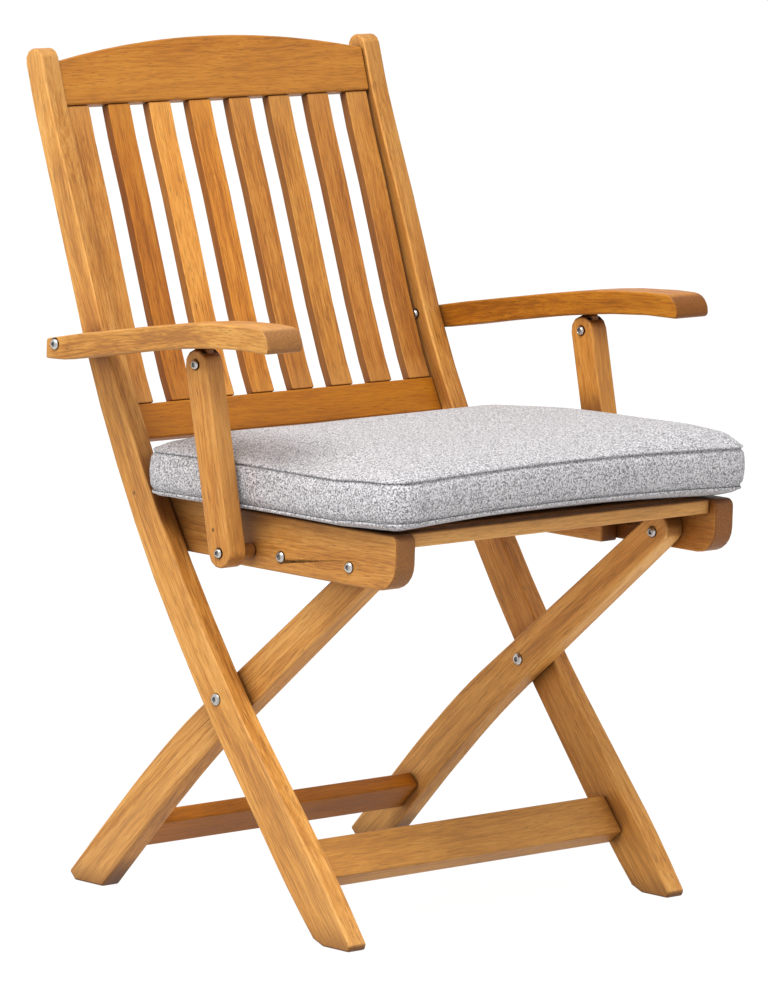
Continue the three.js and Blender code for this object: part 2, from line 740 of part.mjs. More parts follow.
// Box cushion with rounded corners, drawn-in seams and a crowned top
function addCushion() {
  const width = (supportInner - cushionSideGap) * 2;
  const frontY = seatFrontY - cushionFrontOverhang;
  const rearY = frontFaceY(seatHeight) - cushionBackGap;
  const middleY = (frontY + rearY) / 2;
  const length = rearY - frontY;
  const bottom = seatHeight + layerGap;
  const top = bottom + cushionThickness;
  const ringAt = (inset, height, crown) => {
    const halfX = width / 2 - inset;
    const halfY = length / 2 - inset;
    const radius = Math.max(cushionCornerRadius - inset, cushionEdgeInset);
    const points = [];
    for (let corner = 0; corner < 4; corner += 1) {
      const signX = corner === 0 || corner === 3 ? 1 : -1;
      const signY = corner < 2 ? 1 : -1;
      for (let i = 0; i <= arcSteps; i += 1) {
        const angle = Math.PI / 2 * (corner + i / arcSteps);
        const x = signX * (halfX - radius) + radius * Math.cos(angle);
        const y = signY * (halfY - radius) + radius * Math.sin(angle);
        const spread = Math.PI * cushionCrownSpread;
        const rise = crown * Math.cos(spread * x / width) * Math.cos(spread * y / length);
        points.push(new THREE.Vector3(x, y + middleY, height + rise));
      }
    }
    return points;
  };
  const wall = cushionThickness * cushionWallShare;
  const rings = [
    ringAt(width * cushionWallShare, bottom, 0),
    ringAt(cushionTuck, bottom, 0),
    ringAt(cushionEdgeInset, bottom + cushionSeamRise * 2, 0),
    ringAt(0, bottom + wall, 0),
    ringAt(0, top - wall, 0),
    ringAt(cushionEdgeInset, top, 0),
    ringAt(cushionTuck, top + cushionSeamRise, cushionCrown * cushionRimShare),
    ...cushionTopShares.map(([inset, rise]) => (
      ringAt(width * inset, top + cushionSeamRise, cushionCrown * rise)
    )),
  ];
  const count = rings[0].length;
  const corners = [];
  for (let level = 0; level + 1 < rings.length; level += 1) {
    for (let i = 0; i < count; i += 1) {
      const next = (i + 1) % count;
      corners.push(rings[level][i], rings[level][next], rings[level + 1][next]);
      corners.push(rings[level][i], rings[level + 1][next], rings[level + 1][i]);
    }
  }
  const lowMiddle = new THREE.Vector3(0, middleY, bottom);
  const highMiddle = new THREE.Vector3(0, middleY, top + cushionSeamRise + cushionCrown);
  const last = rings.length - 1;
  for (let i = 0; i < count; i += 1) {
    const next = (i + 1) % count;
    corners.push(lowMiddle, rings[0][next], rings[0][i]);
    corners.push(highMiddle, rings[last][i], rings[last][next]);
  }
  const geometry = new THREE.BufferGeometry().setFromPoints(corners);
  geometry.computeVertexNormals();
  addPiece('seat_cushion', geometry, tweed);
}

addLongLegs();
addTopRail();
addLowerBackRail();
addBackSlats();
addCrossMembers();
addRearLegs();
addSeatRails();
addSeatRunners();
addSeatSlats();
addArms();
addSupports();
addFasteners();
addCushion();

export default chair;
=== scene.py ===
import math

import bmesh
import bpy
import numpy as np
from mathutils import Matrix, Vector
from mathutils.bvhtree import BVHTree


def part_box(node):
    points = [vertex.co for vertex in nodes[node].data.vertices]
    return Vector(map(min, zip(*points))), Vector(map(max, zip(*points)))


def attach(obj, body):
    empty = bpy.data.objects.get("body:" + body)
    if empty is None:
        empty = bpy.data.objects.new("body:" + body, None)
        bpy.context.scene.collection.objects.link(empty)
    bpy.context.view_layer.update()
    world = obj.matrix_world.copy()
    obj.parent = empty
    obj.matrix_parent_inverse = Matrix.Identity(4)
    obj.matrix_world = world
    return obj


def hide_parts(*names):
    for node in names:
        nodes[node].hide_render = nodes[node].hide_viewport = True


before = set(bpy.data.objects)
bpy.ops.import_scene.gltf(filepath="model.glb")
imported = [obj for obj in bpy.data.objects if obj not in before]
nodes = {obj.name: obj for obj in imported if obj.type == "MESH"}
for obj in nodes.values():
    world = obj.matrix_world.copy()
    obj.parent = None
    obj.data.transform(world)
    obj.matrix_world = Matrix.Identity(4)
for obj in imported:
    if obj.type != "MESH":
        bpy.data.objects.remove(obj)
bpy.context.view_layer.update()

SIDES = ("right", "left")
CROSS_BOARDS = (
    "top_rail", "lower_back_rail", "front_seat_rail", "seat_rest_rail", "front_stretcher", "rear_stretcher",
)

# Camera, in metres and degrees; its lens and sensor are in millimetres
AZIMUTH = -44.647
ELEVATION = 8.061
ROLL = 1.694
DISTANCE = 7.5913
TARGET = Vector((0.2281, 0.2183, 0.3700))
SENSOR = 36
FOCAL_LENGTH = 256.63

# Edges of the boards and of the metal
BOARD_EDGE = 0.0024
SLAT_EDGE = 0.0016
STEEL_EDGE = 0.0004
EDGE_STEPS = 3
EDGE_ANGLE = math.radians(28)
FLAT_ANGLE = math.radians(0.8)
WELD = 0.00001

# Cushion: its outline, and how far it reaches past the solid's box
FRONT_REACH = 0.004
REAR_REACH = 0.006
SEAM_CORNER = 0.030
OUTLINE_STEP = 0.003
TOP_SEAM = 0.0535
LOWER_SEAM = 0.0108
SIDE_BULGE = 0.003
PROFILE_STEPS = 12

# Insets from the seams up to this one follow the outline, and larger ones shrink it to its middle
OFFSET_LIMIT = 0.024

# An inset that reaches past the middle, where the form closes
PAST_MIDDLE = 0.9

# Underside from the middle to the lower seam, as (inset, height)
UNDERSIDE = [
    (PAST_MIDDLE, 0.0), (0.04, 0.0), (OFFSET_LIMIT, 0.0012), (0.013, 0.0034), (0.006, 0.0062),
]

# Crown: its height, and the run over which it rises from the seam
REAR_CROWN = 0.012
FRONT_CROWN = 0.0175
REAR_CROWN_RUN = 0.06
FRONT_CROWN_RUN = 0.041
CROWN_CURVE = 2.6

# Where the fuller crown at the left front starts, and the run over which it grows
FULL_FROM = Vector((0.02, 0.06))
FULL_RUN = 0.16

# Filling: pressure on the cloth between the seams, with a cap on how far a point may move
VOXEL = 0.005
PRESSURE = 4
FRAMES = 20
CLOTH_STEPS = 6
CLOTH_MASS = 0.3
SWELL_LIMIT = 0.006
PIN_REACH = 0.003
TINY = 1e-9

# How the soft edges lie: the middle of the front lifts, the right side and the rear hang lower
FRONT_LIFT = 0.006
SIDE_DROP = 0.005
REAR_DROP = 0.003
LIFT_RUN = 0.09
DROP_RUN = 0.06
EDGE_PULL = 0.002

# Piping, and the groove that it lies in
WELT_RADIUS = 0.0014
WELT_SIDES = 10
SEAM_DEPTH = 0.0022
SEAM_WIDTH = 0.0019
SEAM_SEARCH = 0.05
SEAM_EVEN = 4
LEVEL_FACING = 0.5

# Light: the sky's level, and a floor that the camera sees as white
WHITE = (1, 1, 1, 1)
SKY_LIGHT = 0.61
KEY_POWER = 318
KEY_SIZE = 3.6
KEY_PLACE = Vector((-2.98, -1.28, 5.75))
KEY_AIM = Vector((0, 0, 0.4))
FLOOR_HALF = 40
FLOOR_COLOUR = (0.62, 0.62, 0.62, 1)
FLOOR_GLOW = 1.15
SHADOW_SHARE = 0.16


class Recipe:
    """Short calls for the nodes of one tree."""

    def __init__(self, tree):
        self.tree = tree

    def add(self, kind, inputs=None, **settings):
        """A node of that kind. Each input is a value, or the output that is linked to it."""
        made = self.tree.nodes.new(kind)
        for name, value in settings.items():
            setattr(made, name, value)
        for socket, value in (inputs or {}).items():
            if isinstance(value, bpy.types.NodeSocket):
                self.tree.links.new(value, made.inputs[socket])
            else:
                made.inputs[socket].default_value = value
        return made

    def math(self, operation, *values):
        return self.add("ShaderNodeMath", dict(enumerate(values)), operation=operation).outputs[0]

    def vector_math(self, operation, *values):
        return self.add("ShaderNodeVectorMath", dict(enumerate(values)), operation=operation).outputs[0]

    def combine(self, x, y, z):
        return self.add("ShaderNodeCombineXYZ", {"X": x, "Y": y, "Z": z}).outputs[0]

    def separate(self, vector):
        return self.add("ShaderNodeSeparateXYZ", {"Vector": vector}).outputs

    def noise(self, vector, scale, detail=2.0, roughness=0.5, output="Fac"):
        values = {"Vector": vector, "Scale": scale, "Detail": detail, "Roughness": roughness}
        return self.add("ShaderNodeTexNoise", values).outputs[output]

    def centred(self, noise, reach):
        """An offset from colour noise, as likely to one side as to the other."""
        return self.vector_math("MULTIPLY", self.vector_math("SUBTRACT", noise, (0.5, 0.5, 0.5)), reach)

    def mix(self, factor, a, b, blend="MIX"):
        sockets = {0: factor, 6: a, 7: b}
        return self.add("ShaderNodeMix", sockets, data_type="RGBA", blend_type=blend).outputs[2]

    def range(self, value, low, high, to_low=0.0, to_high=1.0):
        values = {"Value": value, "From Min": low, "From Max": high, "To Min": to_low, "To Max": to_high}
        return self.add("ShaderNodeMapRange", values, interpolation_type="SMOOTHSTEP").outputs[0]

    def ramp(self, factor, stops):
        """A colour ramp; stops are (place, colour) from low to high."""
        made = self.add("ShaderNodeValToRGB", {"Fac": factor})
        elements = made.color_ramp.elements
        while len(elements) < len(stops):
            elements.new(0.5)
        for element, (place, colour) in zip(elements, stops):
            element.position = place
            element.color = (*colour, 1)
        return made.outputs[0]

    def nearness(self, reach, samples):
        """1 in the open, and less where another surface is within that reach."""
        return self.add("ShaderNodeAmbientOcclusion", {"Distance": reach}, samples=samples).outputs["AO"]


def new_material(name, **constants):
    """A material with a Principled shader; constants are set on its own sockets."""
    material = bpy.data.materials.new(name)
    material.use_nodes = True
    recipe = Recipe(material.node_tree)
    shader = material.node_tree.nodes["Principled BSDF"]
    for socket, value in constants.items():
        shader.inputs[socket.replace("_", " ")].default_value = value
    return material, recipe, shader


# Colours of teak
LIGHT_WOOD = (0.87, 0.45, 0.125)
MIDDLE_WOOD = (0.65, 0.262, 0.036)
DARK_WOOD = (0.33, 0.095, 0.005)
WOOD_STOPS = [(0.02, DARK_WOOD), (0.50, MIDDLE_WOOD), (0.98, LIGHT_WOOD)]
END_WOOD = (0.27, 0.12, 0.045)
END_LIGHT = (0.46, 0.20, 0.055)
PORE_WOOD = (0.16, 0.045, 0.006)
# Painted highlight along the rounded edges
EDGE_HIGHLIGHT_WOOD = (0.86, 0.50, 0.20)
# Painted shade in the corners between boards
SHADE_WOOD = (0.13, 0.038, 0.005)
KNOT_WOOD = (0.02, 0.005, 0.002)
# Painted shade on the narrow sides of the boards
SIDE_SHADE_WOOD = (0.20, 0.06, 0.008)

# Stain of each board: a colour that its wood is multiplied by; it holds the board's own tone and also
# painted light and shade for how brightly each board is lit
STAINS_AND_PAINTED_LIGHT = {
    "right_long_leg": (1.04, 1.0, 0.86), "left_long_leg": (1.0, 0.93, 0.72),
    # left_rear_leg is lightened as painted light where it lies in the chair's shadow
    "right_rear_leg": (0.98, 0.94, 0.84), "left_rear_leg": (1.2, 1.2, 1.1),
    "right_arm": (0.92, 0.86, 0.68), "left_arm": (0.64, 0.45, 0.09),
    "right_arm_support": (0.88, 0.77, 0.58), "left_arm_support": (0.86, 0.72, 0.45),
    "right_seat_rail": (0.82, 0.72, 0.54), "left_seat_rail": (0.74, 0.58, 0.35),
    "top_rail": (0.72, 0.53, 0.20), "lower_back_rail": (0.60, 0.38, 0.05),
    "front_seat_rail": (0.98, 0.92, 0.80),
    "front_stretcher": (0.80, 0.70, 0.46), "rear_stretcher": (0.70, 0.45, 0.05),
    "back_slat_1": (0.88, 0.76, 0.55), "back_slat_2": (0.76, 0.54, 0.20),
    "back_slat_3": (1.10, 0.94, 0.60), "back_slat_4": (1.0, 0.78, 0.36),
    "back_slat_5": (0.84, 0.68, 0.42), "back_slat_6": (0.90, 0.78, 0.52),
    "back_slat_7": (0.80, 0.64, 0.40), "back_slat_8": (0.84, 0.70, 0.46),
    # Spacers and lugs are darkened as painted shade, where they lie under the arms
    "right_support_spacer": (0.45, 0.36, 0.26), "left_support_spacer": (0.45, 0.36, 0.26),
    "right_arm_lug": (0.50, 0.38, 0.26), "left_arm_lug": (0.50, 0.34, 0.20),
}
PLAIN_STAIN = (0.90, 0.80, 0.60)

# Grain: changes in a metre along the board and across it, then the noise's detail and roughness
WARP = (2.2, 9.0, 2.0, 0.5)
RINGS = (0.9, 120.0, 3.0, 0.55)
END_DOTS = (300.0, 900.0, 1.0, 0.5)
GRAIN = {
    "fibres": (20.0, 480.0, 3.0, 0.65),
    "fine_fibres": (45.0, 700.0, 2.0, 0.6),
    "pores": (70.0, 900.0, 1.0, 0.4),
    "slow_tones": (4.0, 26.0, 2.0, 0.5),
    "patches": (11.0, 52.0, 2.0, 0.55),
    "streaks": (7.0, 150.0, 3.0, 0.55),
}

# How much each layer adds to the tone, as (low, high, share)
TONE_SHARES = {
    "rings": (0.0, 1.0, 0.18),
    "fibres": (0.33, 0.67, 0.46),
    "fine_fibres": (0.33, 0.67, 0.42),
    "slow_tones": (0.32, 0.68, 0.36),
    "patches": (0.34, 0.66, 0.30),
    "streaks": (0.34, 0.62, 0.26),
}
TONE_LEVEL = 0.47
PLAIN_TONE = -0.02
TONE_SPREAD = 0.04

# The warp of the grain in metres, and where in the tree a board may be cut from
WARP_REACH = (0.0, 0.03, 0.03)
SHIFT_SPANS = ((-3, 3), (0.06, 0.16), (-0.12, 0.12))
SEED = 7

# Levels between which each feature sets in
RING_LEVELS = (0.30, 0.70)
PORE_LEVELS = (0.62, 0.70)
# Where the painted highlight on rounded edges sets in
EDGE_HIGHLIGHT_LEVELS = (0.505, 0.55)
END_LEVELS = (0.22, 0.60)
DOT_LEVELS = (0.35, 0.65)
# Where the painted shade on narrow sides sets in, and the heights over which it grows
SIDE_LEVELS = (0.75, 0.97)
SIDE_HEIGHTS = (0.12, 0.34)
# Where the painted shade in corners sets in
CORNER_LEVELS = (0.92, 0.30)

# How strongly each feature shows, by board where it differs
PORE_SHARE = 0.6
# How strongly the painted highlight on edges shows
EDGE_HIGHLIGHT_SHARE = 0.5
# How strongly the painted shade in corners shows
CORNER_SHARE = 0.85
END_SHARES = {"right_arm": 0.95, "left_arm": 0.95, "right_seat_rail": 0.95, "left_seat_rail": 0.95}
END_SHARE = 0.45
# Painted shade on the narrow sides, by board
SIDE_SHADE_SHARES = {"back_slat": 0.65, "long_leg": 0.34, "rear_leg": 0.30, "arm_support": 0.12}

# Small dark knots, by board, each with a paler ring
KNOTS = {
    "right_long_leg": (-0.243, 0.1036, 0.4219),
    "right_arm_support": (-0.289, -0.0641, 0.4086),
}
FAR_OFF = (9.0, 9.0, 9.0)
KNOT_SIZE = 0.0019
KNOT_HEART = KNOT_SIZE * 0.7
KNOT_RING = KNOT_SIZE * 1.5
KNOT_RING_SHARE = 0.5
KNOT_STRETCH = (0.85, 1.0, 1.0)

# Surface of teak
# Reach and samples of the painted shade in corners
CORNER_REACH = 0.045
CORNER_SAMPLES = 8
WOOD_ROUGHNESS = 0.38
FIBRE_ROUGHNESS = 0.22
FIBRE_HEIGHT = 0.6
FINE_HEIGHT = 0.3
PORE_HEIGHT = -0.8
GRAIN_BUMP = {"Strength": 0.5, "Distance": 0.0006}


def group_tree(name, inputs, outputs):
    """An empty shader group with those sockets, as (tree, its inputs, its output node)."""
    tree = bpy.data.node_groups.new(name, "ShaderNodeTree")
    for socket, kind in inputs.items():
        tree.interface.new_socket(socket, in_out="INPUT", socket_type=kind)
    for socket, kind in outputs.items():
        tree.interface.new_socket(socket, in_out="OUTPUT", socket_type=kind)
    return tree, tree.nodes.new("NodeGroupInput").outputs, tree.nodes.new("NodeGroupOutput")


def grain_noise(wood, place, layer, output="Fac"):
    """Noise that is drawn out along the board."""
    along, across, detail, roughness = layer
    stretched = wood.vector_math("MULTIPLY", place, (along, across, across))
    return wood.noise(stretched, 1.0, detail, roughness, output)


def straight_place(wood, given):
    """The place on the board once it is straightened, so that the grain follows its curve."""
    along, across, through = wood.separate(given["Place"])
    curve = wood.math("MULTIPLY_ADD", given["Bend"], along, given["Slope"])
    straight = wood.math("SUBTRACT", across, wood.math("MULTIPLY", curve, along))
    curve = wood.math("MULTIPLY_ADD", given["Sag"], along, given["Lean"])
    through = wood.math("SUBTRACT", through, wood.math("MULTIPLY", curve, along))
    place = wood.vector_math("ADD", wood.combine(along, straight, through), given["Shift"])
    warp = wood.centred(grain_noise(wood, place, WARP, "Color"), WARP_REACH)
    return wood.vector_math("ADD", place, warp)


def growth_rings(wood, place):
    """Rings about a pith that lies outside the board."""
    along_scale, across_scale, detail, roughness = RINGS
    t, v, w = wood.separate(place)
    square = wood.math("ADD", wood.math("MULTIPLY", v, v), wood.math("MULTIPLY", w, w))
    radius = wood.math("SQRT", square)
    along = wood.math("MULTIPLY", t, along_scale)
    ring_place = wood.combine(along, wood.math("MULTIPLY", radius, across_scale), 0.0)
    return wood.range(wood.noise(ring_place, 1.0, detail, roughness), *RING_LEVELS)


def with_knot(wood, given, colour):
    """A small dark knot, longer along the board."""
    offset = wood.vector_math("SUBTRACT", given["Place"], given["Knot"])
    offset = wood.vector_math("MULTIPLY", offset, KNOT_STRETCH)
    distance = wood.add("ShaderNodeVectorMath", {0: offset}, operation="LENGTH").outputs["Value"]
    ring = wood.range(distance, KNOT_RING, KNOT_SIZE)
    colour = wood.mix(wood.math("MULTIPLY", ring, KNOT_RING_SHARE), colour, (*DARK_WOOD, 1))
    heart = wood.range(distance, KNOT_SIZE, KNOT_HEART)
    return wood.mix(heart, colour, (*KNOT_WOOD, 1))


def with_painted_edge_highlight(wood, colour):
    """Painted highlight: the rounded edges are paler than the faces."""
    edge_highlight = wood.range(wood.add("ShaderNodeNewGeometry").outputs["Pointiness"], *EDGE_HIGHLIGHT_LEVELS)
    return wood.mix(wood.math("MULTIPLY", edge_highlight, EDGE_HIGHLIGHT_SHARE), colour, (*EDGE_HIGHLIGHT_WOOD, 1))


def with_end_grain(wood, given, place, colour):
    """End grain, where the face looks along the fibres."""
    along = wood.separate(given["Place"])[0]
    facing = wood.separate(given["Normal"])
    lean = wood.math("MULTIPLY_ADD", wood.math("MULTIPLY", given["Bend"], along), 2.0, given["Slope"])
    length = wood.math("SQRT", wood.math("MULTIPLY_ADD", lean, lean, 1.0))
    ends = wood.math("DIVIDE", wood.math("MULTIPLY_ADD", facing[1], lean, facing[0]), length)
    ends = wood.range(wood.math("ABSOLUTE", ends), *END_LEVELS)
    dots = wood.range(grain_noise(wood, place, END_DOTS), *DOT_LEVELS)
    end_tone = wood.mix(dots, (*END_WOOD, 1), (*END_LIGHT, 1))
    return wood.mix(wood.math("MULTIPLY", ends, given["Ends"]), colour, end_tone)


def with_painted_side_shade(wood, given, colour):
    """Painted shade on the narrow sides of the upright boards, stronger higher up."""
    along = wood.separate(given["Place"])[0]
    across_facing = wood.separate(given["Normal"])[1]
    sides = wood.range(wood.math("ABSOLUTE", across_facing), *SIDE_LEVELS)
    sides = wood.math("MULTIPLY", sides, wood.range(along, *SIDE_HEIGHTS))
    return wood.mix(wood.math("MULTIPLY", sides, given["Side_shade"]), colour, (*SIDE_SHADE_WOOD, 1))


def with_painted_corner_shade(wood, colour):
    """Painted shade in the corners between boards, where another surface is near."""
    near = wood.nearness(CORNER_REACH, CORNER_SAMPLES)
    return wood.mix(wood.range(near, *CORNER_LEVELS, 0.0, CORNER_SHARE), colour, (*SHADE_WOOD, 1))


def teak_group():
    """Teak in board coordinates: along the board, across its face and through its thickness."""
    sockets = {
        "Place": "NodeSocketVector",
        "Normal": "NodeSocketVector",
        "Slope": "NodeSocketFloat",
        "Bend": "NodeSocketFloat",
        "Lean": "NodeSocketFloat",
        "Sag": "NodeSocketFloat",
        "Shift": "NodeSocketVector",
        "Tone": "NodeSocketFloat",
        "Stain_and_light": "NodeSocketColor",
        "Ends": "NodeSocketFloat",
        "Side_shade": "NodeSocketFloat",
        "Knot": "NodeSocketVector",
    }
    results = {"Color": "NodeSocketColor", "Roughness": "NodeSocketFloat", "Height": "NodeSocketFloat"}
    tree, given, result = group_tree("teak_grain", sockets, results)
    wood = Recipe(tree)
    place = straight_place(wood, given)
    layers = {name: grain_noise(wood, place, layer) for name, layer in GRAIN.items()}
    layers["rings"] = growth_rings(wood, place)

    tone = wood.math("SUBTRACT", given["Tone"], TONE_LEVEL)
    for name, (low, high, share) in TONE_SHARES.items():
        tone = wood.math("MULTIPLY_ADD", wood.range(layers[name], low, high), share, tone)
    colour = wood.ramp(tone, WOOD_STOPS)
    pores = wood.range(layers["pores"], *PORE_LEVELS)
    colour = wood.mix(wood.math("MULTIPLY", pores, PORE_SHARE), colour, (*PORE_WOOD, 1))
    colour = with_knot(wood, given, colour)
    colour = with_painted_edge_highlight(wood, colour)
    colour = with_end_grain(wood, given, place, colour)
    colour = with_painted_side_shade(wood, given, colour)
    # Each board's stain, which also holds painted light and shade
    colour = wood.mix(1.0, colour, given["Stain_and_light"], "MULTIPLY")
    colour = with_painted_corner_shade(wood, colour)

    rough = wood.math("MULTIPLY_ADD", layers["fibres"], FIBRE_ROUGHNESS, WOOD_ROUGHNESS)
    height = wood.math("MULTIPLY", pores, PORE_HEIGHT)
    height = wood.math("MULTIPLY_ADD", layers["fibres"], FIBRE_HEIGHT, height)
    height = wood.math("MULTIPLY_ADD", layers["fine_fibres"], FINE_HEIGHT, height)
    for socket, value in (("Color", colour), ("Roughness", rough), ("Height", height)):
        tree.links.new(value, result.inputs[socket])
    return tree


def teak(name, group, order, curve, shift, tone):
    """Teak for one board. order names the row's axes along, across and through the board."""
    material, wood, shader = new_material("teak_" + name, Specular_IOR_Level=0.3)
    coordinates = wood.add("ShaderNodeTexCoord").outputs
    places = []
    for source in ("Object", "Normal"):
        axes = dict(zip("XYZ", wood.separate(coordinates[source])))
        places.append(wood.combine(*(axes[letter] for letter in order)))
    values = {"Place": places[0], "Normal": places[1], "Shift": shift}
    values.update(zip(("Slope", "Bend", "Lean", "Sag"), curve))
    values["Tone"] = tone
    values["Ends"] = END_SHARES.get(name, END_SHARE)
    values["Side_shade"] = next((share for part, share in SIDE_SHADE_SHARES.items() if part in name), 0.0)
    values["Stain_and_light"] = (*STAINS_AND_PAINTED_LIGHT.get(name, PLAIN_STAIN), 1)
    knot = dict(zip("XYZ", KNOTS.get(name, FAR_OFF)))
    values["Knot"] = tuple(knot[letter] for letter in order)
    grain = wood.add("ShaderNodeGroup", node_tree=group)
    for socket, value in values.items():
        if isinstance(value, bpy.types.NodeSocket):
            material.node_tree.links.new(value, grain.inputs[socket])
        else:
            grain.inputs[socket].default_value = value
    bump = wood.add("ShaderNodeBump", {"Height": grain.outputs["Height"], **GRAIN_BUMP})
    material.node_tree.links.new(grain.outputs["Color"], shader.inputs["Base Color"])
    material.node_tree.links.new(grain.outputs["Roughness"], shader.inputs["Roughness"])
    material.node_tree.links.new(bump.outputs[0], shader.inputs["Normal"])
    return material


def board_curve(name, along, across):
    """Slope and bend of a board's middle line, fitted to its corners."""
    mesh = nodes[name].data
    points = np.empty(len(mesh.vertices) * 3)
    mesh.vertices.foreach_get("co", points)
    points = points.reshape(-1, 3)
    bend, slope, _ = np.polyfit(points[:, "XYZ".index(along)], points[:, "XYZ".index(across)], 2)
    return slope, bend


def board_runs():
    """How each board's grain runs: its axes, and its curve across and through, by node name."""
    straight = (0.0, 0.0)
    runs = {}
    for side in SIDES:
        for name in ("long_leg", "rear_leg", "arm_support"):
            node = f"{side}_{name}"
            runs[node] = ("ZYX", board_curve(node, "Z", "Y") + straight)
        runs[side + "_arm"] = ("YZX", board_curve(side + "_arm", "Y", "Z") + straight)
        runs[side + "_arm_lug"] = ("ZYX", straight * 2)
        runs[side + "_support_spacer"] = ("XYZ", straight * 2)
        runs[side + "_seat_rail"] = ("YZX", straight * 2)
        runs[side + "_seat_runner"] = ("YZX", straight * 2)
    for node in nodes:
        if node.startswith("back_slat"):
            runs[node] = ("ZXY", straight + board_curve(node, "Z", "Y"))
        elif node.startswith("seat_slat"):
            runs[node] = ("XYZ", straight * 2)
    for node in CROSS_BOARDS:
        runs[node] = ("XZY", straight * 2)
    return runs


# Steel
STEEL_STOPS = [(0.3, (0.40, 0.385, 0.37)), (0.7, (0.62, 0.605, 0.59))]
# Painted shade in the bolt's socket and where the steel meets the wood
SOCKET_SHADE = (0.03, 0.03, 0.03, 1)
SOCKET_REACH = 0.004
SOCKET_SAMPLES = 6
SOCKET_LEVELS = (0.85, 0.35)
SOCKET_SHARE = 0.95
SCRATCH_SCALE = 2500.0
SMEAR_SCALE = 260.0
STEEL_ROUGHNESS = 0.18
SCRATCH_ROUGHNESS = 0.22
STEEL_BUMP = {"Strength": 0.2, "Distance": 0.0001}


def steel():
    """Stainless steel, softly blasted, with fine scratches, and painted shade in its socket and where it
    meets the wood.
    """
    material, metal, shader = new_material("steel", Metallic=1.0)
    place = metal.add("ShaderNodeTexCoord").outputs["Object"]
    grain = metal.noise(place, SCRATCH_SCALE)
    colour = metal.ramp(metal.noise(place, SMEAR_SCALE), STEEL_STOPS)
    # Painted shade where another surface is near
    near = metal.nearness(SOCKET_REACH, SOCKET_SAMPLES)
    colour = metal.mix(metal.range(near, *SOCKET_LEVELS, 0.0, SOCKET_SHARE), colour, SOCKET_SHADE)
    rough = metal.math("MULTIPLY_ADD", grain, SCRATCH_ROUGHNESS, STEEL_ROUGHNESS)
    bump = metal.add("ShaderNodeBump", {"Height": grain, **STEEL_BUMP})
    material.node_tree.links.new(colour, shader.inputs["Base Color"])
    material.node_tree.links.new(rough, shader.inputs["Roughness"])
    material.node_tree.links.new(bump.outputs[0], shader.inputs["Normal"])
    return material


# Tweed: colours, then sizes in metres, then the scale, detail and roughness of each noise
SLUB_STOPS = [
    (0.36, (0.36, 0.355, 0.37)),
    (0.48, (0.72, 0.70, 0.72)),
    (0.60, (0.92, 0.90, 0.92)),
]
FLECK_COLOUR = (0.09, 0.09, 0.095, 1)
FUZZ_COLOUR = (0.88, 0.86, 0.88, 1)
# Painted shade in the cloth's creases and along the piping
CREASE_SHADE_COLOUR = (0.06, 0.06, 0.065, 1)
THREAD = 0.0021
WOBBLE_REACH = (0.002, 0.002, 0.002)
CREASE_REACH = 0.004
CREASE_SAMPLES = 8
WOBBLE_SCALE = 240.0
SLUBS = (420.0, 2.0, 0.7)
FLECKS = (620.0, 1.0, 0.5)
FUZZ = (1500.0, 2.0, 0.6)
FLECK_LEVELS = (0.49, 0.37)
FUZZ_LEVELS = (0.60, 0.80)
CREASE_LEVELS = (0.80, 0.45)
FLECK_SHARE = 0.78
CREASE_SHARE = 0.85
THREAD_HEIGHT = 0.3
FUZZ_HEIGHT = 0.35
TWEED_BUMP = {"Strength": 0.7, "Distance": 0.0011}
TWEED_SHADER = {
    "Specular_IOR_Level": 0.1, "Sheen_Weight": 0.25, "Sheen_Roughness": 0.5, "Roughness": 0.95,
}


def tweed():
    """Grey melange cloth: pale slubs with dark flecks on a plain weave, with painted shade in its creases
    and along the piping.
    """
    material, cloth, shader = new_material("tweed", **TWEED_SHADER)
    place = cloth.add("ShaderNodeTexCoord").outputs["Object"]
    wobble = cloth.centred(cloth.noise(place, WOBBLE_SCALE, output="Color"), WOBBLE_REACH)
    place = cloth.vector_math("ADD", place, wobble)
    slubs = cloth.noise(place, *SLUBS)
    flecks = cloth.range(cloth.noise(place, *FLECKS), *FLECK_LEVELS)
    fuzz = cloth.noise(place, *FUZZ)
    colour = cloth.ramp(slubs, SLUB_STOPS)
    colour = cloth.mix(cloth.math("MULTIPLY", flecks, FLECK_SHARE), colour, FLECK_COLOUR)
    colour = cloth.mix(cloth.range(fuzz, *FUZZ_LEVELS), colour, FUZZ_COLOUR)
    # Painted shade in creases, where another surface is near
    near = cloth.nearness(CREASE_REACH, CREASE_SAMPLES)
    colour = cloth.mix(cloth.range(near, *CREASE_LEVELS, 0.0, CREASE_SHARE), colour, CREASE_SHADE_COLOUR)
    x, y, z = cloth.separate(place)
    threads = 2 * math.pi / THREAD
    warp = cloth.math("SINE", cloth.math("MULTIPLY", x, threads))
    weft = cloth.math("SINE", cloth.math("MULTIPLY", cloth.math("ADD", y, z), threads))
    height = cloth.math("MULTIPLY_ADD", cloth.math("MULTIPLY", warp, weft), THREAD_HEIGHT, slubs)
    height = cloth.math("MULTIPLY_ADD", fuzz, FUZZ_HEIGHT, height)
    bump = cloth.add("ShaderNodeBump", {"Height": height, **TWEED_BUMP})
    material.node_tree.links.new(colour, shader.inputs["Base Color"])
    material.node_tree.links.new(bump.outputs[0], shader.inputs["Normal"])
    return material


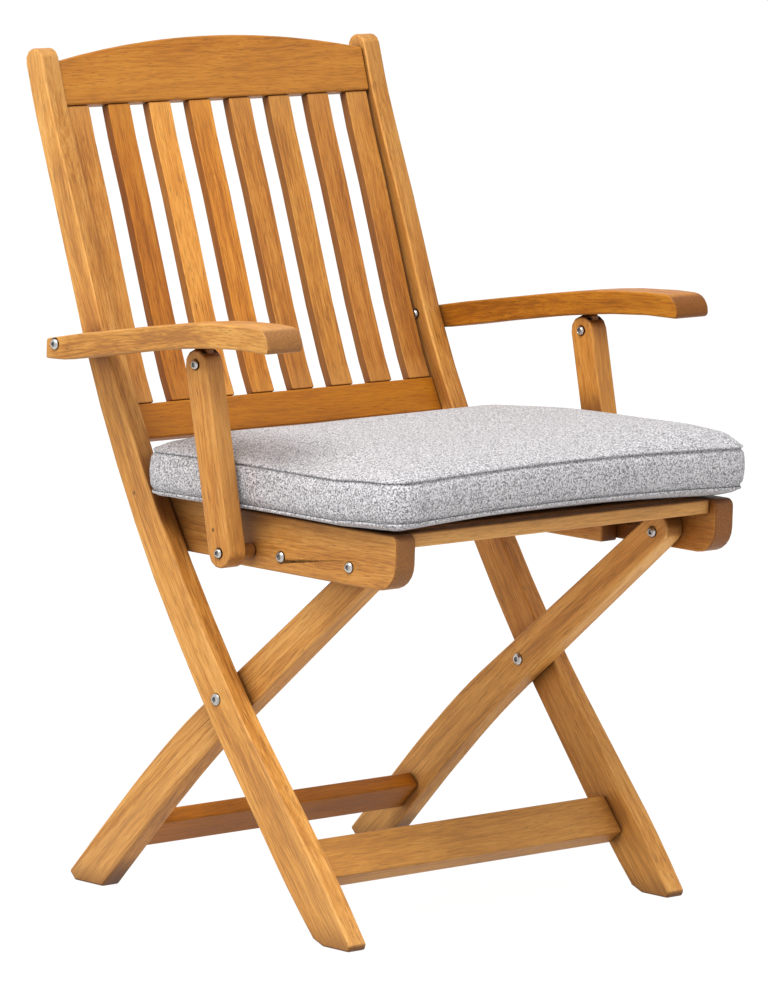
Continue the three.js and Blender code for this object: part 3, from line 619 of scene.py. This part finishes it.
def smooth_faces():
    """A modifier tree that shades every face and edge smooth."""
    tree = bpy.data.node_groups.new("smooth_faces", "GeometryNodeTree")
    for side in ("INPUT", "OUTPUT"):
        tree.interface.new_socket("Geometry", in_out=side, socket_type="NodeSocketGeometry")
    geometry = tree.nodes.new("NodeGroupInput").outputs[0]
    for domain in ("EDGE", "FACE"):
        shade = tree.nodes.new("GeometryNodeSetShadeSmooth")
        shade.domain = domain
        tree.links.new(geometry, shade.inputs["Geometry"])
        geometry = shade.outputs[0]
    tree.links.new(geometry, tree.nodes.new("NodeGroupOutput").inputs[0])
    return tree


def dress(piece, material, edge, smoothing):
    """Gives a CAD piece its material and rounded edges."""
    for place in piece.material_slots:
        place.material = material
    weld = piece.modifiers.new("weld", "WELD")
    weld.merge_threshold = WELD
    flat = piece.modifiers.new("flat faces", "DECIMATE")
    flat.decimate_type = "DISSOLVE"
    flat.angle_limit = FLAT_ANGLE
    bevel = piece.modifiers.new("edges", "BEVEL")
    bevel.width = edge
    bevel.segments = EDGE_STEPS
    bevel.limit_method = "ANGLE"
    bevel.angle_limit = EDGE_ANGLE
    bevel.use_clamp_overlap = False
    bevel.loop_slide = False
    shade = piece.modifiers.new("smooth", "NODES")
    shade.node_group = smoothing
    piece.modifiers.new("normals", "WEIGHTED_NORMAL").keep_sharp = False


def dress_frame():
    """All teak boards and steel fittings."""
    smoothing = smooth_faces()
    group = teak_group()
    metal = steel()
    runs = board_runs()
    chance = np.random.default_rng(SEED)
    for name, piece in nodes.items():
        if name == "seat_cushion":
            continue
        if name in runs:
            order, curve = runs[name]
            shift = tuple(chance.uniform(*span) for span in SHIFT_SPANS)
            tone = PLAIN_TONE + chance.uniform(-TONE_SPREAD, TONE_SPREAD)
            edge = SLAT_EDGE if "slat" in name else BOARD_EDGE
            dress(piece, teak(name, group, order, curve, shift, tone), edge, smoothing)
        else:
            dress(piece, metal, STEEL_EDGE, smoothing)


def rounded_rectangle(low, high, radius, step):
    """Points about one step apart round a rounded rectangle, each with its outward direction."""
    centres = [
        Vector((high.x - radius, low.y + radius, 0)),
        Vector((high.x - radius, high.y - radius, 0)),
        Vector((low.x + radius, high.y - radius, 0)),
        Vector((low.x + radius, low.y + radius, 0)),
    ]
    turns = math.ceil(radius * math.pi / 2 / step)
    points = []
    for corner, centre in enumerate(centres):
        start = math.pi / 2 * (corner - 1)
        for turn in range(turns):
            angle = start + math.pi / 2 * turn / turns
            out = Vector((math.cos(angle), math.sin(angle), 0))
            points.append((centre + radius * out, out))
        angle = start + math.pi / 2
        out = Vector((math.cos(angle), math.sin(angle), 0))
        here = centre + radius * out
        there = centres[(corner + 1) % len(centres)] + radius * out
        count = math.ceil((there - here).length / step)
        for number in range(count):
            points.append((here.lerp(there, number / count), out))
    return points


def mesh_object(name, form, material, smooth=True):
    """An object from a bmesh, linked to the scene."""
    mesh = bpy.data.meshes.new(name)
    form.to_mesh(mesh)
    form.free()
    mesh.materials.append(material)
    for face in mesh.polygons:
        face.use_smooth = smooth
    made = bpy.data.objects.new(name, mesh)
    bpy.context.scene.collection.objects.link(made)
    return made


def bridged(rings, closed=False):
    """A bmesh of quads between rings of points; the ends are capped, or joined if closed."""
    form = bmesh.new()
    made = [[form.verts.new(point) for point in ring] for ring in rings]
    pairs = list(zip(made, made[1:]))
    if closed:
        pairs.append((made[-1], made[0]))
    for below, above in pairs:
        for index in range(len(below)):
            after = (index + 1) % len(below)
            form.faces.new((below[index], below[after], above[after], above[index]))
    if not closed:
        form.faces.new(list(reversed(made[0])))
        form.faces.new(made[-1])
    bmesh.ops.recalc_face_normals(form, faces=form.faces)
    return form


def cushion_profile():
    """(inset, height without the crown) from the middle of the bottom to the middle of the top."""
    profile = [*UNDERSIDE, (0.0, LOWER_SEAM)]
    for step in range(1, PROFILE_STEPS):
        share = step / PROFILE_STEPS
        bulge = SIDE_BULGE * math.sin(math.pi * share)
        profile.append((-bulge, LOWER_SEAM + (TOP_SEAM - LOWER_SEAM) * share))
    profile.append((0.0, TOP_SEAM))
    for step in range(1, PROFILE_STEPS + 1):
        profile.append((REAR_CROWN_RUN * step / PROFILE_STEPS, TOP_SEAM))
    profile.append((PAST_MIDDLE, TOP_SEAM))
    return profile


def eased(value):
    """A smooth step from 0 to 1."""
    share = min(max(value, 0), 1)
    return share ** 2 * (3 - 2 * share)


def crown_at(inset, x, y):
    """How high the crown stands that far in from the seam; it is fuller towards the left front."""
    full = eased((x - FULL_FROM.x) / FULL_RUN) * eased((FULL_FROM.y - y) / FULL_RUN)
    height = REAR_CROWN + (FRONT_CROWN - REAR_CROWN) * full
    run = REAR_CROWN_RUN + (FRONT_CROWN_RUN - REAR_CROWN_RUN) * full
    return height * (1 - (1 - min(inset / run, 1)) ** CROWN_CURVE)


def cushion_start(low, high):
    """The cushion's closed form before it swells. Its sides are drawn in a little along their middle."""
    outline = rounded_rectangle(low, high, SEAM_CORNER, OUTLINE_STEP)
    middle = (low + high) / 2
    half = (high - low) / 2
    rings = []
    for inset, height in cushion_profile():
        ring = []
        for point, out in outline:
            if inset > OFFSET_LIMIT:
                moved = point.lerp(middle, min(inset / half.y, 1))
            else:
                moved = point - out * inset
            across = (point.x - middle.x) / half.x
            deep = (point.y - middle.y) / half.y
            pull = EDGE_PULL * (abs(out.y) * (1 - across ** 2) + abs(out.x) * (1 - deep ** 2))
            moved = moved - out * pull
            crown = crown_at(inset, moved.x, moved.y) if height == TOP_SEAM else 0
            ring.append((moved.x, moved.y, low.z + height + crown))
        rings.append(ring)
    return bridged(rings)


def finish_mesh(obj):
    """Applies the object's modifiers to its mesh."""
    bpy.context.view_layer.update()
    mesh = bpy.data.meshes.new_from_object(obj.evaluated_get(bpy.context.evaluated_depsgraph_get()))
    obj.modifiers.clear()
    obj.data = mesh


def remesh(obj):
    """Gives the object an even mesh, as cloth needs."""
    modifier = obj.modifiers.new("voxels", "REMESH")
    modifier.mode = "VOXEL"
    modifier.voxel_size = VOXEL
    modifier.use_smooth_shade = True
    finish_mesh(obj)


def refine(obj):
    """Rounds the mesh once more, smoothly shaded."""
    fine = obj.modifiers.new("fine", "SUBSURF")
    fine.levels = 1
    fine.render_levels = 1
    finish_mesh(obj)


def vertex_places(obj):
    """The places of the object's vertices, one row each."""
    points = np.empty(len(obj.data.vertices) * 3)
    obj.data.vertices.foreach_get("co", points)
    return points.reshape(-1, 3)


def swell(obj, floor, seams):
    """Fills the cushion by cloth pressure between its seams and keeps its bottom flat."""
    before = vertex_places(obj)
    held = np.min([abs(before[:, 2] - height) for height in seams], axis=0) < PIN_REACH
    pins = obj.vertex_groups.new(name="seams")
    pins.add(np.flatnonzero(held).tolist(), 1, "REPLACE")
    cloth = obj.modifiers.new("cloth", "CLOTH").settings
    cloth.vertex_group_mass = "seams"
    cloth.quality = CLOTH_STEPS
    cloth.mass = CLOTH_MASS
    cloth.use_pressure = True
    cloth.uniform_pressure_force = PRESSURE
    cloth.effector_weights.gravity = 0
    scene = bpy.context.scene
    for number in range(1, FRAMES + 1):
        scene.frame_set(number)
    finish_mesh(obj)
    scene.frame_set(1)
    moves = vertex_places(obj) - before
    lengths = np.linalg.norm(moves, axis=1)
    moves *= np.minimum(1, SWELL_LIMIT / np.maximum(lengths, TINY))[:, None]
    points = before + moves
    points[:, 2] = np.maximum(points[:, 2], floor)
    obj.data.vertices.foreach_set("co", points.astype(np.float32).ravel())
    obj.data.update()


def edge_lift(x, y, low, high):
    """How far the cushion's soft edges lie above or below their even height."""
    middle = (low + high) / 2
    half = (high - low) / 2
    across = np.clip((x - middle.x) / half.x, -1, 1)
    front = np.exp(-(((y - low.y) / LIFT_RUN) ** 2)) * (1 - across ** 2)
    along = np.clip((y - low.y) / LIFT_RUN, 0, 1)
    right = np.exp(-(((x - low.x) / DROP_RUN) ** 2)) * along ** 2
    rear = np.clip((y - middle.y) / half.y, 0, 1) ** 2
    return FRONT_LIFT * front - SIDE_DROP * right - REAR_DROP * rear


def settle(obj, low, high):
    """Lets the cushion's edges lie softly; its underside stays on the slats."""
    points = vertex_places(obj)
    lift = edge_lift(points[:, 0], points[:, 1], low, high)
    points[:, 2] = np.maximum(points[:, 2] + lift, low.z)
    obj.data.vertices.foreach_set("co", points.ravel())
    obj.data.update()


def seam_path(obj, low, high, height):
    """Points where the cushion's side meets a level, each with its outward direction."""
    tree = BVHTree.FromObject(obj, bpy.context.evaluated_depsgraph_get())
    outline = rounded_rectangle(low, high, SEAM_CORNER, OUTLINE_STEP)
    starts = []
    depths = []
    for point, out in outline:
        level = height + edge_lift(point.x, point.y, low, high)
        starts.append(Vector((point.x, point.y, level)))
        far = starts[-1] + out * SEAM_SEARCH
        hit = tree.ray_cast(far, -out)[0]
        depths.append((hit - far).length - SEAM_SEARCH)
    path = []
    for index, (start, (_, out)) in enumerate(zip(starts, outline)):
        near = [depths[(index + offset) % len(depths)] for offset in range(-SEAM_EVEN, SEAM_EVEN + 1)]
        path.append((start - out * sum(near) / len(near), out))
    return path


def press_seams(obj, low, high, heights):
    """Draws the cushion in along its seams."""
    points = vertex_places(obj)
    normals = np.empty(points.size)
    obj.data.vertex_normals.foreach_get("vector", normals)
    level = normals.reshape(-1, 3) * (1, 1, 0)
    lengths = np.linalg.norm(level, axis=1)
    level *= (lengths > LEVEL_FACING)[:, None] / np.maximum(lengths, LEVEL_FACING)[:, None]
    lift = edge_lift(points[:, 0], points[:, 1], low, high)
    for height in heights:
        depth = SEAM_DEPTH * np.exp(-(((points[:, 2] - height - lift) / SEAM_WIDTH) ** 2))
        points -= level * depth[:, None]
    obj.data.vertices.foreach_set("co", points.ravel())
    obj.data.update()


def welt(name, path, material):
    """The piping along one seam: a closed round cord."""
    rings = []
    for point, out in path:
        ring = []
        for side in range(WELT_SIDES):
            angle = 2 * math.pi * side / WELT_SIDES
            offset = out * math.cos(angle) + Vector((0, 0, 1)) * math.sin(angle)
            ring.append(point + offset * WELT_RADIUS)
        rings.append(ring)
    return mesh_object(name, bridged(rings, closed=True), material)


def make_cushion():
    """The cushion and the piping along its two seams."""
    low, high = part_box("seat_cushion")
    low = low - Vector((0, FRONT_REACH, 0))
    high = high + Vector((0, REAR_REACH, 0))
    cloth = tweed()
    cushion = mesh_object("cushion", cushion_start(low, high), cloth)
    remesh(cushion)
    heights = [low.z + TOP_SEAM, low.z + LOWER_SEAM]
    swell(cushion, low.z, heights)
    refine(cushion)
    settle(cushion, low, high)
    for face in cushion.data.polygons:
        face.use_smooth = True
    paths = [seam_path(cushion, low, high, height) for height in heights]
    welt_edges = [heights[0] - 2 * WELT_RADIUS, heights[1] + 2 * WELT_RADIUS]
    press_seams(cushion, low, high, welt_edges)
    pieces = [cushion]
    for name, path in zip(("cushion_top_welt", "cushion_lower_welt"), paths):
        pieces.append(welt(name, path, cloth))
    for piece in pieces:
        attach(piece, "seat")
    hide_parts("seat_cushion")


def make_camera():
    """The photograph's view, with its slight roll."""
    azimuth, elevation, roll = (math.radians(angle) for angle in (AZIMUTH, ELEVATION, ROLL))
    back = Vector((
        math.sin(azimuth) * math.cos(elevation),
        -math.cos(azimuth) * math.cos(elevation),
        math.sin(elevation),
    ))
    right = Vector((math.cos(azimuth), math.sin(azimuth), 0))
    up = back.cross(right)
    data = bpy.data.cameras.new("camera")
    data.lens = FOCAL_LENGTH
    data.sensor_width = SENSOR
    data.clip_end = FLOOR_HALF * 4
    camera = bpy.data.objects.new("camera", data)
    bpy.context.scene.collection.objects.link(camera)
    turned_right = right * math.cos(roll) + up * math.sin(roll)
    turned_up = up * math.cos(roll) - right * math.sin(roll)
    columns = (turned_right, turned_up, back, TARGET + back * DISTANCE)
    for column, vector in enumerate(columns):
        for row in range(3):
            camera.matrix_world[row][column] = vector[row]
    bpy.context.scene.camera = camera


def make_lights():
    """One large soft lamp from the upper left of the view, over an even sky."""
    lamp = bpy.data.lights.new("key", "AREA")
    lamp.energy = KEY_POWER
    lamp.shape = "DISK"
    lamp.size = KEY_SIZE
    key = bpy.data.objects.new("key", lamp)
    key.location = KEY_PLACE
    key.rotation_mode = "QUATERNION"
    key.rotation_quaternion = (KEY_AIM - KEY_PLACE).to_track_quat("-Z", "Y")
    bpy.context.scene.collection.objects.link(key)


def seen_white(recipe):
    """1 where the camera, a reflection or a glass looks straight at the background."""
    rays = recipe.add("ShaderNodeLightPath").outputs
    seen = recipe.math("MAXIMUM", rays["Is Camera Ray"], rays["Is Glossy Ray"])
    return recipe.math("MAXIMUM", seen, rays["Is Transmission Ray"])


def make_world():
    """A white sky, which lights the chair a little less than it shows."""
    world = bpy.data.worlds.new("studio")
    world.use_nodes = True
    sky = Recipe(world.node_tree)
    level = sky.math("MULTIPLY_ADD", seen_white(sky), 1 - SKY_LIGHT, SKY_LIGHT)
    background = world.node_tree.nodes["Background"]
    background.inputs["Color"].default_value = WHITE
    world.node_tree.links.new(level, background.inputs["Strength"])
    bpy.context.scene.world = world


def make_floor():
    """A white floor that keeps a faint shadow of the chair."""
    form = bmesh.new()
    square = ((-1, -1), (1, -1), (1, 1), (-1, 1))
    form.faces.new([form.verts.new((x * FLOOR_HALF, y * FLOOR_HALF, 0)) for x, y in square])
    material = bpy.data.materials.new("floor")
    material.use_nodes = True
    paint = Recipe(material.node_tree)
    material.node_tree.nodes.remove(material.node_tree.nodes["Principled BSDF"])
    diffuse = paint.add("ShaderNodeBsdfDiffuse", {"Color": FLOOR_COLOUR}).outputs[0]
    glow = paint.add("ShaderNodeEmission", {"Color": WHITE, "Strength": FLOOR_GLOW}).outputs[0]
    share = paint.math("MULTIPLY", seen_white(paint), 1 - SHADOW_SHARE)
    mixed = paint.add("ShaderNodeMixShader", {0: share, 1: diffuse, 2: glow}).outputs[0]
    material.node_tree.links.new(mixed, material.node_tree.nodes["Material Output"].inputs["Surface"])
    mesh_object("floor", form, material, smooth=False)


make_camera()
dress_frame()
make_cushion()
make_lights()
make_world()
make_floor()
bpy.context.scene.view_settings.view_transform = "Standard"
